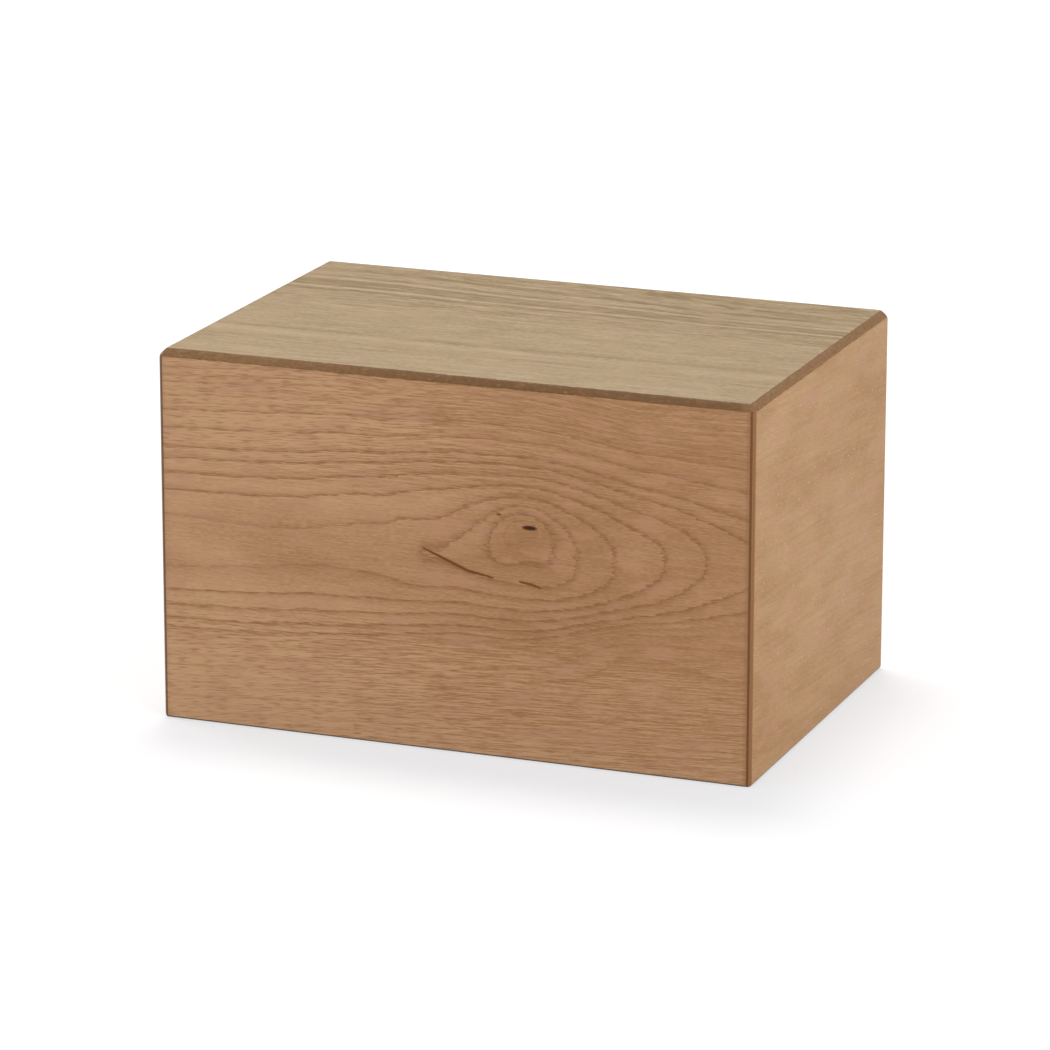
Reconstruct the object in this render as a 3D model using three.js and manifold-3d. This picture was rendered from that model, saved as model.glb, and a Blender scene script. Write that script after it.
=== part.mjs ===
// Cremation urn box: a closed rectangular box of veneered board.
// Five 12 mm panels are mitred together at every meeting edge, and a thinner base
// is set up into a rebate and held by four countersunk wood screws.
// Units are millimetres, +Z is up, the front faces -Y, and the origin is the middle
// of the rim that the box stands on.

import * as THREE from 'three';
import { mergeVertices } from 'three/addons/utils/BufferGeometryUtils.js';
import Module from 'manifold-3d';

const wasm = await Module();
wasm.setup();

// Driving dimensions
const WIDTH = 235;
const DEPTH = 160;
const HEIGHT = 144;
const BOARD = 12; // thickness of the top and the walls
const TOP_ARRIS = 2.7; // legs of the chamfer round the top
const SIDE_ARRIS = 1.7; // legs of the chamfer down each vertical corner
const FOOT_ARRIS = 0.8; // legs of the small chamfer round the foot
const GLUE_GAP = 0.3; // between two panels, square to the mitre

// Base and its rebate
const BASE_BOARD = 6;
const BASE_RECESS = 1; // the base lies this far above the rim
const REBATE = 7; // width of the ledge that the base is screwed up against
const BASE_PLAY = 0.5; // between the base's edge and the rim, on each side
const LEDGE_GAP = 0.3; // between the base and the ledge

// Screws, 3 x 16 mm with a 90 degree countersunk head
const SCREW_LENGTH = 16;
const SCREW_POINT = 3; // length of the tapered point
const SCREW_TIP_RADIUS = 0.3;
const SHANK_RADIUS = 1.5;
const HEAD_RADIUS = 3;
const HEAD_RIM = 0.3; // straight part of the head, above its cone
const SCREW_SIDES = 24;
const HOLE_PLAY = 0.45; // radius of a hole over the screw's own
const HOLE_SPARE = 1.5; // the hole goes this far past the screw's point
const RECESS_ARM = 1.6; // half length of the cross recess
const RECESS_WIDTH = 0.8;
const RECESS_DEPTH = 1.1;
const SCREW_FROM_END = 38; // from each end wall's outer face

// Sizes worked out from those above
const RIM = BOARD - REBATE;
const LEDGE = BASE_RECESS + BASE_BOARD + LEDGE_GAP;
const MITRE_SETBACK = GLUE_GAP / Math.SQRT2;
const LONG = WIDTH + DEPTH; // longer than any panel
const HEAD_HEIGHT = HEAD_RIM + HEAD_RADIUS - SHANK_RADIUS;
const SCREW_X = WIDTH / 2 - SCREW_FROM_END;
const SCREW_Y = DEPTH / 2 - BOARD + REBATE / 2;

// Colours as finished
const veneer = new THREE.MeshStandardMaterial({ color: 0xb0865f, roughness: 0.45, metalness: 0 });
const sideVeneer = new THREE.MeshStandardMaterial({ color: 0xb9936f, roughness: 0.45, metalness: 0 });
const plainBoard = new THREE.MeshStandardMaterial({ color: 0x9a7a58, roughness: 0.85, metalness: 0 });
const zincSteel = new THREE.MeshStandardMaterial({ color: 0xb8b6ae, roughness: 0.35, metalness: 0.9 });

// Solids and geometries

function solidOf(geometry) {
  geometry.deleteAttribute('normal');
  geometry.deleteAttribute('uv');
  const merged = mergeVertices(geometry, 1e-5);
  return new wasm.Manifold(new wasm.Mesh({
    numProp: 3,
    vertProperties: merged.attributes.position.array,
    triVerts: new Uint32Array(merged.index.array),
  }));
}

function geometryOf(solid) {
  const mesh = solid.getMesh();
  const geometry = new THREE.BufferGeometry();
  geometry.setAttribute('position', new THREE.BufferAttribute(mesh.vertProperties, mesh.numProp));
  geometry.setIndex(new THREE.BufferAttribute(mesh.triVerts, 1));
  geometry.computeVertexNormals();
  return geometry;
}

// A straight bar of the given outline. across and up are the directions of the outline's
// own two axes, and the bar runs both ways from the middle, square to them.
function bar(outline, length, across, up) {
  const shape = new THREE.Shape(outline.map(([a, b]) => new THREE.Vector2(a, b)));
  const geometry = new THREE.ExtrudeGeometry(shape, { depth: length, bevelEnabled: false });
  geometry.translate(0, 0, -length / 2);
  const along = new THREE.Vector3().crossVectors(across, up);
  geometry.applyMatrix4(new THREE.Matrix4().makeBasis(across, up, along));
  return geometry;
}

// A round body about the Z axis, from its half section
function turned(profile) {
  const points = profile.map(([radius, z]) => new THREE.Vector2(radius, z));
  return new THREE.LatheGeometry(points, SCREW_SIDES).rotateX(Math.PI / 2);
}

const X = new THREE.Vector3(1, 0, 0);
const Y = new THREE.Vector3(0, 1, 0);
const Z = new THREE.Vector3(0, 0, 1);
const DOWN = new THREE.Vector3(0, 0, -1);

// Outline of a board cut to length, with an arris on its outer face and a mitre behind
// it at both ends. The outer face lies along the first axis, and the second goes inwards.
function mitredBoard(length, arris) {
  const half = length / 2;
  const edge = (arris - MITRE_SETBACK) / 2; // where the arris meets the mitre
  return [
    [-half + arris, 0],
    [half - arris, 0],
    [half - arris + edge, edge],
    [half - BOARD - MITRE_SETBACK, BOARD],
    [-half + BOARD + MITRE_SETBACK, BOARD],
    [-half + arris - edge, edge],
  ];
}

// Section through a wall, from its outer face inwards and from the foot upwards:
// the foot's arris, the rim, the rebate with its ledge, and the mitre to the top.
function wallSection() {
  const edge = (TOP_ARRIS - MITRE_SETBACK) / 2;
  return [
    [FOOT_ARRIS, 0],
    [RIM, 0],
    [RIM, LEDGE],
    [BOARD, LEDGE],
    [BOARD, HEIGHT - BOARD - MITRE_SETBACK],
    [edge, HEIGHT - TOP_ARRIS + edge],
    [0, HEIGHT - TOP_ARRIS],
    [0, FOOT_ARRIS],
  ];
}

// Screws and their holes, measured up from the base's underside

function screw() {
  const body = turned([
    [0, 0],
    [HEAD_RADIUS, 0],
    [HEAD_RADIUS, HEAD_RIM],
    [SHANK_RADIUS, HEAD_HEIGHT],
    [SHANK_RADIUS, SCREW_LENGTH - SCREW_POINT],
    [SCREW_TIP_RADIUS, SCREW_LENGTH],
    [0, SCREW_LENGTH],
  ]);
  const w = RECESS_WIDTH / 2;
  const a = RECESS_ARM;
  const cross = [
    [w, w], [w, a], [-w, a], [-w, w], [-a, w], [-a, -w],
    [-w, -w], [-w, -a], [w, -a], [w, -w], [a, -w], [a, w],
  ];
  return solidOf(body).subtract(solidOf(bar(cross, 2 * RECESS_DEPTH, X, Y)));
}

function hole(x, y) {
  const shape = turned([
    [0, -HOLE_SPARE],
    [HEAD_RADIUS + HOLE_PLAY, -HOLE_SPARE],
    [HEAD_RADIUS + HOLE_PLAY, HEAD_RIM],
    [SHANK_RADIUS + HOLE_PLAY, HEAD_HEIGHT],
    [SHANK_RADIUS + HOLE_PLAY, SCREW_LENGTH + HOLE_SPARE],
    [0, SCREW_LENGTH + HOLE_SPARE],
  ]);
  return solidOf(shape.translate(x, y, BASE_RECESS));
}

function drilled(solid, places) {
  return places.reduce((left, [x, y]) => left.subtract(hole(x, y)), solid);
}

// Panels

// The top, hanging down from its outer face
function topPanel() {
  const acrossWidth = solidOf(bar(mitredBoard(WIDTH, TOP_ARRIS), LONG, X, DOWN));
  const acrossDepth = solidOf(bar(mitredBoard(DEPTH, TOP_ARRIS), LONG, Y, DOWN));
  return acrossWidth.intersect(acrossDepth);
}

// A wall as it stands at the front, with its outer face this far from the box's middle
function wall(length, distance) {
  const plan = bar(mitredBoard(length, SIDE_ARRIS), LONG, X, Y).translate(0, -distance, 0);
  const section = bar(wallSection(), LONG, Y, Z).translate(0, -distance, 0);
  return solidOf(plan).intersect(solidOf(section));
}

function basePanel() {
  const width = WIDTH - 2 * (RIM + BASE_PLAY);
  const depth = DEPTH - 2 * (RIM + BASE_PLAY);
  const board = new THREE.BoxGeometry(width, depth, BASE_BOARD);
  return solidOf(board.translate(0, 0, BASE_RECESS + BASE_BOARD / 2));
}

// Assembly

const urnBox = new THREE.Group();

function place(name, solid, material, position = [0, 0, 0], quarterTurns = 0) {
  const mesh = new THREE.Mesh(geometryOf(solid), material);
  mesh.name = name;
  mesh.position.set(...position);
  mesh.rotation.z = (quarterTurns * Math.PI) / 2;
  urnBox.add(mesh);
}

const frontScrews = [[-SCREW_X, -SCREW_Y], [SCREW_X, -SCREW_Y]];
const backScrews = [[SCREW_X, SCREW_Y], [-SCREW_X, SCREW_Y]];
const screwPlaces = [...frontScrews, ...backScrews];

const longWall = drilled(wall(WIDTH, DEPTH / 2), frontScrews);
const shortWall = wall(DEPTH, WIDTH / 2);

place('top_panel', topPanel(), veneer, [0, 0, HEIGHT]);
place('front_panel', longWall, veneer);
place('right_panel', shortWall, sideVeneer, [0, 0, 0], 1);
place('back_panel', longWall, veneer, [0, 0, 0], 2);
place('left_panel', shortWall, sideVeneer, [0, 0, 0], 3);
place('base_panel', drilled(basePanel(), screwPlaces), plainBoard);
screwPlaces.forEach(([x, y], i) => {
  place(`base_screw_${i + 1}`, screw(), zincSteel, [x, y, BASE_RECESS]);
});

export default urnBox;
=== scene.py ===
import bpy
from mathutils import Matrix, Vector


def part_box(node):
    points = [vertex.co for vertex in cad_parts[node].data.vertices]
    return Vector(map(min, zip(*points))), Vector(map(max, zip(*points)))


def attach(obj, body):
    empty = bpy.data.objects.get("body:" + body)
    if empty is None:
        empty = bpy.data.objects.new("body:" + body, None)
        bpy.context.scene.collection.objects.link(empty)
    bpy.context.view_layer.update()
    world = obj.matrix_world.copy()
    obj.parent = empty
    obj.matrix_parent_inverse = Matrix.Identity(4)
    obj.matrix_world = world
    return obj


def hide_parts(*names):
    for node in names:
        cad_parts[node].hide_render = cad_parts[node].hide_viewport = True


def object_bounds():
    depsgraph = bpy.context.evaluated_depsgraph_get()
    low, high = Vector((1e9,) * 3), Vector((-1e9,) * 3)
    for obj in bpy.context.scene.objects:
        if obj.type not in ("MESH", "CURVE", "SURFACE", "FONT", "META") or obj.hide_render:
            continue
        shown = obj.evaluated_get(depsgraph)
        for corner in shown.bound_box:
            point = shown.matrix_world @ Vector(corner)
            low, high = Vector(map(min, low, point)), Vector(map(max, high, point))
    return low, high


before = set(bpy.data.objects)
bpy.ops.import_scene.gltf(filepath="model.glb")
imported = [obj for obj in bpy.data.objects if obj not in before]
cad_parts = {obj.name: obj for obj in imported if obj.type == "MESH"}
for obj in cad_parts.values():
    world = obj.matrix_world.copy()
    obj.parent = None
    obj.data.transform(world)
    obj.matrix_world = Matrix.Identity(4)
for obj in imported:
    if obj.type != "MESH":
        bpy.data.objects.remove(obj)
cad_box = [list(corner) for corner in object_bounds()]

import math

import bpy
import numpy as np
from mathutils import Matrix, Vector

MM = 0.001
WIDTH, DEPTH, HEIGHT = (np.array(cad_box[1]) - np.array(cad_box[0])) / MM


# The front board: 12 mm fibreboard faced with flat-sawn veneer that has a knot in it.
# It is mitred to its neighbours, its arrises are sanded through to the stained core, and a
# rebate inside its foot takes the base. The arris along its foot is darkened with painted
# shade, as in the shadow where it meets the floor.
BOARD = 12.0
RIM = 5.0
REBATE_TOP = 7.3
GLUE_LINE = 0.02
TOP_ARRIS = 2.7
SIDE_ARRIS = 1.7
FOOT_ARRIS = 0.8
CORNER_CUT = 4.6
ARRIS_SOFTNESS = 0.22
SANDING_REACH = 4.0
SANDING_HALVINGS = 30
FOOT_MARKS = 6
FOOT_REACH = 1.2
FINE_PITCH = 0.3
FINE_BAND = 4.0
PITCH_GROWTH = 0.3
RULER_STEPS = 6000
BOARD_CREASE = 40


def edge_distances(points):
    """How far points are from the planes of the sides, of the ends, of the top and of the foot."""
    side = WIDTH / 2 - np.abs(points[..., 0])
    end = DEPTH / 2 - np.abs(points[..., 1])
    top = HEIGHT - points[..., 2]
    foot = points[..., 2]
    return side, end, top, foot


def depth_inside(points):
    """How deep points lie in the finished box, whose arrises and corners are sanded off."""
    side, end, top, foot = edge_distances(points)
    planes = np.stack([
        side,
        end,
        top,
        foot,
        (side + end - SIDE_ARRIS) / math.sqrt(2),
        (side + top - TOP_ARRIS) / math.sqrt(2),
        (end + top - TOP_ARRIS) / math.sqrt(2),
        (side + foot - FOOT_ARRIS) / math.sqrt(2),
        (end + foot - FOOT_ARRIS) / math.sqrt(2),
        (side + end + top - CORNER_CUT) / math.sqrt(3),
    ])
    return -ARRIS_SOFTNESS * np.log(np.exp(-planes / ARRIS_SOFTNESS).sum(axis=0))


def sanded(points):
    """Points of the sharp box moved in to the sanded skin; beside an edge they follow the mitre."""
    side, end, top, foot = edge_distances(points)
    pull = [np.clip(1 - distance / SANDING_REACH, 0, 1) for distance in (side, end, top, foot)]
    path = np.stack([
        -np.sign(points[..., 0]) * pull[0],
        -np.sign(points[..., 1]) * pull[1],
        pull[3] - pull[2],
    ], axis=-1)
    low = np.zeros(points.shape[:-1])
    high = np.full(points.shape[:-1], SANDING_REACH)
    for _ in range(SANDING_HALVINGS):
        middle = (low + high) / 2
        outside = depth_inside(points + path * middle[..., None]) < 0
        low = np.where(outside, middle, low)
        high = np.where(outside, high, middle)
    return points + path * high[..., None]


def marks(start, stop, pitch_at):
    """Places from start to stop, as far apart as pitch_at says."""
    ruler = np.linspace(start, stop, RULER_STEPS + 1)
    count = np.concatenate([[0], np.cumsum(np.diff(ruler) / pitch_at(ruler[1:]))])
    return np.interp(np.linspace(0, count[-1], math.ceil(count[-1]) + 1), count, ruler)


def edged_pitch(start, stop, wide):
    """A pitch that is fine beside both edges and wide between them."""
    def pitch_at(place):
        near = np.minimum(place - start, stop - place)
        return np.clip(FINE_PITCH + (near - FINE_BAND) * PITCH_GROWTH, FINE_PITCH, wide)
    return pitch_at


class Board:
    """A board of the box, in its own directions: along it, across it and out of its face."""

    def __init__(self, along, across, outward, middle):
        self.along = np.array(along, float)
        self.across = np.array(across, float)
        self.outward = np.array(outward, float)
        self.middle = np.array(middle, float)

    def point(self, a, b, d):
        """The place a along the board, b across it and d behind its face."""
        parts = zip((a, b, -d), (self.along, self.across, self.outward))
        return self.middle + sum(np.asarray(size)[..., None] * way for size, way in parts)

    def measured(self, points):
        """How far along, across and behind the face points are."""
        offset = points - self.middle
        return offset @ self.along, offset @ self.across, -(offset @ self.outward)


def board_skin(board, columns, section, top_edge, low_edge):
    """The board's vertices, one row for each point of its section, round from the outer top edge."""
    half = columns[-1]
    b, d = np.array(section, float).T
    a = columns[None, :] * (half - d[:, None]) / half
    b = np.broadcast_to(b[:, None], a.shape)
    points = board.point(a, b, np.broadcast_to(d[:, None], a.shape))
    outer = (d == 0) | ((points[:, 0, 2] == 0) & (d < RIM))
    points[outer] = sanded(points[outer])
    a, b, d = board.measured(points)
    limit = half - d - GLUE_LINE
    a = np.clip(a, -limit, limit)
    b = np.minimum(b, top_edge - d - GLUE_LINE)
    if low_edge is not None:
        b = np.maximum(b, low_edge + d + GLUE_LINE)
    return a, b, d


def board_mesh(name, board, columns, section, outer_rows, top_edge, low_edge, hollow=None):
    """The board as a closed mesh, with the bake's map giving its outer face most of the room."""
    a, b, d = board_skin(board, columns, section, top_edge, low_edge)
    if hollow is not None:
        d = d + np.where(np.arange(len(section))[:, None] < outer_rows, hollow(a, b), 0)
    points = board.point(a, b, d)
    rows, count = a.shape
    row, column = np.meshgrid(np.arange(rows), np.arange(count - 1), indexing="ij")
    below = (row + 1) % rows
    quads = np.stack([
        row * count + column,
        below * count + column,
        below * count + column + 1,
        row * count + column + 1,
    ], axis=-1).reshape(-1, 4)
    left_end = [r * count for r in reversed(range(rows))]
    right_end = [r * count + count - 1 for r in range(rows)]
    vertices = (points.reshape(-1, 3) * MM).tolist()
    mesh = bpy.data.meshes.new(name)
    mesh.from_pydata(vertices, [], quads.tolist() + [left_end, right_end])

    margin, face_width, face_height = 0.005, 0.95, 0.73
    rest_start, rest_stop, seam = 0.75, 0.99, 0.998
    end_start, end_step, end_width = 0.965, 0.02, 0.012
    run = np.concatenate([[0], np.cumsum(np.abs(np.diff(b[:outer_rows, count // 2])))])
    v = np.concatenate([
        margin + run / run[-1] * face_height,
        np.linspace(rest_start, rest_stop, rows - outer_rows),
    ])
    u = margin + (columns + columns[-1]) / (2 * columns[-1]) * face_width
    corner_u = np.stack([u[column], u[column], u[column + 1], u[column + 1]], axis=-1)
    lower_v = np.where(below > 0, v[below], seam)
    corner_v = np.stack([v[row], lower_v, lower_v, v[row]], axis=-1)
    tube = np.stack([corner_u, corner_v], axis=-1).reshape(-1, 2)
    ends = [
        (end_start + end_step * side + end_width * d[r, 0] / BOARD, v[r])
        for side, order in ((0, reversed(range(rows))), (1, range(rows)))
        for r in order
    ]
    layer = mesh.uv_layers.new(name="OFBake")
    layer.data.foreach_set("uv", np.concatenate([tube, ends]).astype(np.float32).ravel())
    mesh.polygons.foreach_set("use_smooth", np.ones(len(mesh.polygons), bool))
    mesh.set_sharp_from_angle(angle=math.radians(BOARD_CREASE))
    mesh.validate()
    piece = bpy.data.objects.new(name, mesh)
    bpy.context.scene.collection.objects.link(piece)
    return piece, points.reshape(-1, 3), a.ravel(), b.ravel()


def give(piece, name, values):
    """Stores three numbers for each vertex, for the material to read."""
    attribute = piece.data.attributes.new(name, "FLOAT_VECTOR", "POINT")
    attribute.data.foreach_set("vector", np.asarray(values, np.float32).ravel())


def give_arrises(piece, points):
    """How far each vertex is past the line where the veneer is sanded through, edge by edge; at the
    foot, past the line where the painted shade starts.
    """
    side, end, top, foot = edge_distances(points)
    near_edge = np.maximum(side, end)
    to_top = np.sqrt(2) * (TOP_ARRIS - np.maximum(top, np.minimum(side, end)))
    to_side = np.sqrt(2) * (SIDE_ARRIS - near_edge)
    to_foot = np.sqrt(2) * (FOOT_ARRIS - np.maximum(foot, np.minimum(side, end)))
    give(piece, "arris", np.stack([to_side, to_top, to_foot], axis=-1))


def through(place, stations):
    """A smooth line through (place, value) stations."""
    places, values = np.array(stations, float).T
    slopes = np.gradient(values, places)
    i = np.clip(np.searchsorted(places, place) - 1, 0, len(places) - 2)
    gap = places[i + 1] - places[i]
    t = np.clip((place - places[i]) / gap, 0, 1)
    start = values[i] * (1 + 2 * t) * (1 - t) ** 2 + slopes[i] * gap * t * (1 - t) ** 2
    stop = values[i + 1] * t * t * (3 - 2 * t) - slopes[i + 1] * gap * t * t * (1 - t)
    return start + stop


def eased(value, start, stop):
    """Goes smoothly from nought to one as value goes from start to stop."""
    t = np.clip((value - start) / (stop - start), 0, 1)
    return t * t * (3 - 2 * t)


# The tree under the front veneer, by millimetres from the board's left edge: the height of the
# pith's line, how far behind the face the pith lies, and how the rings spread above and below.
# These lists, the roundness and the knot's pulls were fitted by a least-squares program to
# points marked on the photo's ring lines, then rounded and partly changed.
PITH_HEIGHT = [
    (0, 69.6), (45, 71.8), (75, 75), (92, 76.9), (105, 79), (120, 81.3), (148, 83.3), (181, 84),
    (235, 85),
]
PITH_DEPTH = [
    (0, 16.8), (60, 17.6), (80, 17.4), (92, 17), (105, 14.7), (120, 14.2), (134, 12.4), (148, 11.3),
    (158, 12.2), (167, 14.1), (181, 17.5), (200, 21.7), (218, 26.3), (235, 29.4),
]
SPREAD_ABOVE = [(0, 1.2), (60, 1.2), (105, 1.07), (148, 1), (181, 0.98), (235, 1.15)]
SPREAD_BELOW = [(0, 1.08), (60, 1.1), (105, 1.04), (148, 1.1), (181, 0.95), (235, 1.28)]
ROUNDNESS = [(60, 2.4), (105, 3.2), (148, 2.4), (190, 1.72)]
RING_END = 3.0
# Near the foot the rings run straight, rising to the right along this line.
STRAIGHT_LINE = [(0, 7.5), (77, 12.8), (143, 16.6), (235, 21.4)]
STRAIGHT_RADIUS = 58.7
# Where the rings are pushed aside by the knot: centre, half size and push, in mm.
KNOT_PULLS = [
    (110, 86, 21, 11, -2.7, -7),
    (146, 85.5, 12.5, 14, -2, 8),
    (168, 71.5, 40, 14, -1.5, -8),
]


def front_growth(u, v):
    """The radius of growth, in mm, that shows at a place on the front veneer."""
    along, up = u, v
    for centre_u, centre_v, reach_u, reach_v, pull_u, pull_v in KNOT_PULLS:
        weight = np.exp(-((u - centre_u) / reach_u) ** 2 - ((v - centre_v) / reach_v) ** 2)
        along = along - pull_u * weight
        up = up - pull_v * weight
    rise = up - through(along, PITH_HEIGHT)
    above = rise / through(along, SPREAD_ABOVE)
    below = -rise / through(along, SPREAD_BELOW)
    reach = np.where(rise > 0, above, below)
    reach = (reach ** 4 + (RING_END * eased(along, 150, 175)) ** 4) ** 0.25
    power = through(np.clip(along, 60, 190), ROUNDNESS)
    round_pith = (reach ** power + through(along, PITH_DEPTH) ** power) ** (1 / power)
    straight = STRAIGHT_RADIUS + through(u, STRAIGHT_LINE) - v
    share = eased(through(u, PITH_HEIGHT) - v, 34, 58)
    return round_pith + (straight - round_pith) * share


# Radii of the year rings that show as lines, and how strongly each shows.
KNOT_RINGS = [
    (0, 0), (11.65, 0.6), (12.3, 1), (14.4, 0.9), (18.1, 1), (22.4, 1.1), (26.4, 1), (30.3, 1.1),
    (33.3, 1),
]
RINGS_ABOVE = [(38.9, 0.8), (44.6, 0.9)]
RING_FADE = 0.55
FLOW_START = 78.3
FLOW_SPREAD = 1.1


def flow_height(u, v, growth):
    """The height that the fibres at a place come from: level by the knot, and along the rings
    above it and below it."""
    rise = v - through(u, PITH_HEIGHT)
    above = FLOW_START + FLOW_SPREAD * growth
    fall = through(u, STRAIGHT_LINE) - STRAIGHT_LINE[2][1]
    return v + eased(rise, 22, 45) * (above - v) - eased(-rise, 10, 50) * fall


def ring_lines(first, spacing, strength, last, seed):
    """Further rings out to a radius, unevenly spaced and unevenly strong."""
    draw = np.random.default_rng(seed)
    lines = []
    radius = first
    while radius < last:
        lines.append((radius, strength * draw.uniform(0.35, 1.0)))
        radius += spacing * draw.uniform(0.6, 1.45)
    return lines


def ring_fields(radius, lines):
    """For a radius of growth: the count of rings inside it, their spacing and their strength."""
    radii, strengths = np.array(lines, float).T
    count = np.interp(radius, radii, np.arange(len(radii)))
    widths = np.diff(radii)
    spacing = np.interp(count, np.arange(len(widths)) + 0.5, widths)
    return count, spacing, np.interp(count, np.arange(len(radii)), strengths)


def give_figure(piece, u, v, growth_at, fields, grain, tone, pores, flaw=0.0):
    """The rings and how they lie to the grain, and the wood's tone, pores and flaws."""
    step = 0.25
    slant = (growth_at(u + step, v) - growth_at(u - step, v)) / (2 * step)
    climb = (growth_at(u, v + step) - growth_at(u, v - step)) / (2 * step)
    steepness = np.clip(np.hypot(slant, climb), 0.15, 3)
    nought = np.zeros_like(u)
    give(piece, "rings", np.stack(fields, axis=-1))
    give(piece, "lie", np.stack([slant, steepness, nought], axis=-1))
    give(piece, "grain", np.stack([nought + part for part in grain], axis=-1))
    give(piece, "look", np.stack([nought + part for part in (tone, pores, flaw)], axis=-1))


# Soft patches of lighter and darker wood on the front: centre and half size, in mm, and how
# much lighter they are. The first two, lighter at the left end and darker at the right, are
# partly the wood's own tone and partly a painted fall of light across the face.
FRONT_PATCHES_AND_LIGHT_FALL = [
    # Partly painted light: lighter at the left end and darker at the right.
    (10, 80, 90, 130, 0.38),
    (225, 60, 90, 130, -0.34),
    (20, 125, 70, 26, 0.85),
    (15, 18, 80, 24, 0.85),
    (225, 16, 60, 24, 0.3),
    (117, 2, 200, 8, 0.35),
    (45, 72, 55, 18, -0.34),
    (148, 80, 40, 30, -0.28),
    (26, 67, 24, 5, 0.4),
    (55, 66, 24, 5, -0.4),
    (8, 63, 14, 4, -0.3),
    (110, 96, 40, 5, 0.35),
    (80, 90, 20, 5, 0.2),
    (190, 83, 7, 7, 0.3),
    (146, 84, 10, 7, -0.3),
    (128, 84, 9, 5, 0.12),
    (100, 44, 60, 4, -0.2),
    (180, 50, 50, 7, -0.12),
    (40, 53, 40, 3, 0.3),
    (28, 135, 14, 3, -0.3),
    (205, 60, 26, 5, 0.25),
    (60, 100, 40, 3, -0.2),
]


def front_pores(u, v):
    """How thickly the front is pored: most in the straight grain at the upper left and the foot."""
    upper = eased(v, 90, 112) * (1 - 0.8 * eased(u, 70, 170))
    lower = (1 - eased(v, 34, 54)) * (1 - 0.5 * eased(u, 80, 190))
    return 0.22 + 0.74 * np.maximum(upper, lower)


def patch_tones(u, v, patches):
    """How much lighter, or darker, the patches make the surface at a place."""
    tone = np.zeros_like(u)
    for centre_u, centre_v, half_u, half_v, amount in patches:
        tone += amount * np.exp(-((u - centre_u) / half_u) ** 2 - ((v - centre_v) / half_v) ** 2)
    return tone


# The knot's open pit and the smaller spot beside it, as centre and half size, and the two
# resin cracks under it, as points and half width, all in mm.
KNOT_PIT = (148.6, 89.7, 3.5, 1.05)
KNOT_SPOT = (136.6, 93.7, 1.3, 0.5)
RESIN_CRACKS = [
    ([(105.8, 78.2), (114.3, 74.9), (124.3, 71), (135, 69.2)], 0.72),
    ([(144.4, 68.9), (149.5, 68.3), (153.4, 67.2)], 0.6),
]
CRACK_OPENNESS = 0.65
STAIN_SHADE = 0.12
STAIN_SPREAD = 2.4
HOLLOW_FROM = 0.45
HOLLOW_DEPTH = 0.5


def oval(u, v, centre_u, centre_v, half_u, half_v):
    """Nought at an oval's rim, one at its middle and less than nought outside."""
    return 1 - np.hypot((u - centre_u) / half_u, (v - centre_v) / half_v)


def crack_opening(u, v, line, half_width):
    """One along the middle of a crack that tapers to both ends, and nought beside it."""
    lengths = [math.dist(start, stop) for start, stop in zip(line, line[1:])]
    best = np.zeros_like(u)
    before = 0.0
    for start, stop, length in zip(line, line[1:], lengths):
        way = ((stop[0] - start[0]) / length, (stop[1] - start[1]) / length)
        t = np.clip((u - start[0]) * way[0] + (v - start[1]) * way[1], 0, length)
        distance = np.hypot(u - start[0] - t * way[0], v - start[1] - t * way[1])
        share = (before + t) / sum(lengths)
        half = half_width * np.sqrt(np.clip(4 * share * (1 - share), 0.01, 1))
        best = np.maximum(best, np.clip(1.7 * (1 - distance / half), 0, 1))
        before += length
    return best


def flaws(u, v):
    """How open the wood is at a place: one in the pit's middle, less in the spot and cracks."""
    pit = np.clip(oval(u, v, *KNOT_PIT) * 2.2, 0, 1)
    spot = np.clip(oval(u, v, *KNOT_SPOT) * 1.6, 0, 0.6)
    cracks = [CRACK_OPENNESS * crack_opening(u, v, line, width) for line, width in RESIN_CRACKS]
    stains = [
        STAIN_SHADE * crack_opening(u, v, line, STAIN_SPREAD * width) for line, width in RESIN_CRACKS
    ]
    return np.maximum.reduce([pit, spot, *cracks, *stains])


def hollowed(a, b):
    """How far the face is sunk at the pit and the cracks."""
    return HOLLOW_DEPTH * np.clip(flaws(a + WIDTH / 2, b) - HOLLOW_FROM, 0, 1)


# Nodes for the materials. What the meshes store is in millimetres, and Object coordinates
# are in metres.
def add(tree, kind, values=None, **settings):
    """A shader node. Its inputs, by name or number, are values or other nodes' outputs."""
    made = tree.nodes.new("ShaderNode" + kind)
    for name, value in settings.items():
        setattr(made, name, value)
    for key, value in (values or {}).items():
        if isinstance(value, bpy.types.NodeSocket):
            tree.links.new(value, made.inputs[key])
        else:
            made.inputs[key].default_value = value
    return made


def maths(tree, operation, *values):
    """The result of one operation on one to three values."""
    return add(tree, "Math", dict(enumerate(values)), operation=operation).outputs[0]


def ease(tree, value, start, stop, low=0.0, high=1.0):
    """Goes smoothly from low to high as value goes from start to stop."""
    values = {"Value": value, "From Min": start, "From Max": stop, "To Min": low, "To Max": high}
    return add(tree, "MapRange", values, interpolation_type="SMOOTHSTEP").outputs[0]


def mixed(tree, share, first, second):
    """The first colour with this share of the second."""
    return add(tree, "Mix", {0: share, 6: first, 7: second}, data_type="RGBA").outputs[2]


def stretched(tree, vector, sizes):
    """A vector measured in these sizes, one for each direction."""
    per = tuple(1 / size for size in sizes)
    return add(tree, "VectorMath", {0: vector, 1: per}, operation="MULTIPLY").outputs[0]


def cloudy(tree, vector, sizes, detail=2.0, roughness=0.5):
    """Noise with features of about these sizes."""
    place = stretched(tree, vector, sizes)
    values = {"Vector": place, "Scale": 1.0, "Detail": detail, "Roughness": roughness}
    return add(tree, "TexNoise", values, noise_dimensions="3D").outputs[0]


def stored(tree, name):
    """The three numbers that give() stored under this name."""
    return add(tree, "Attribute", attribute_name=name).outputs["Vector"]


def colour(red, green, blue):
    """An opaque colour, in linear light."""
    return (red, green, blue, 1.0)


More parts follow.
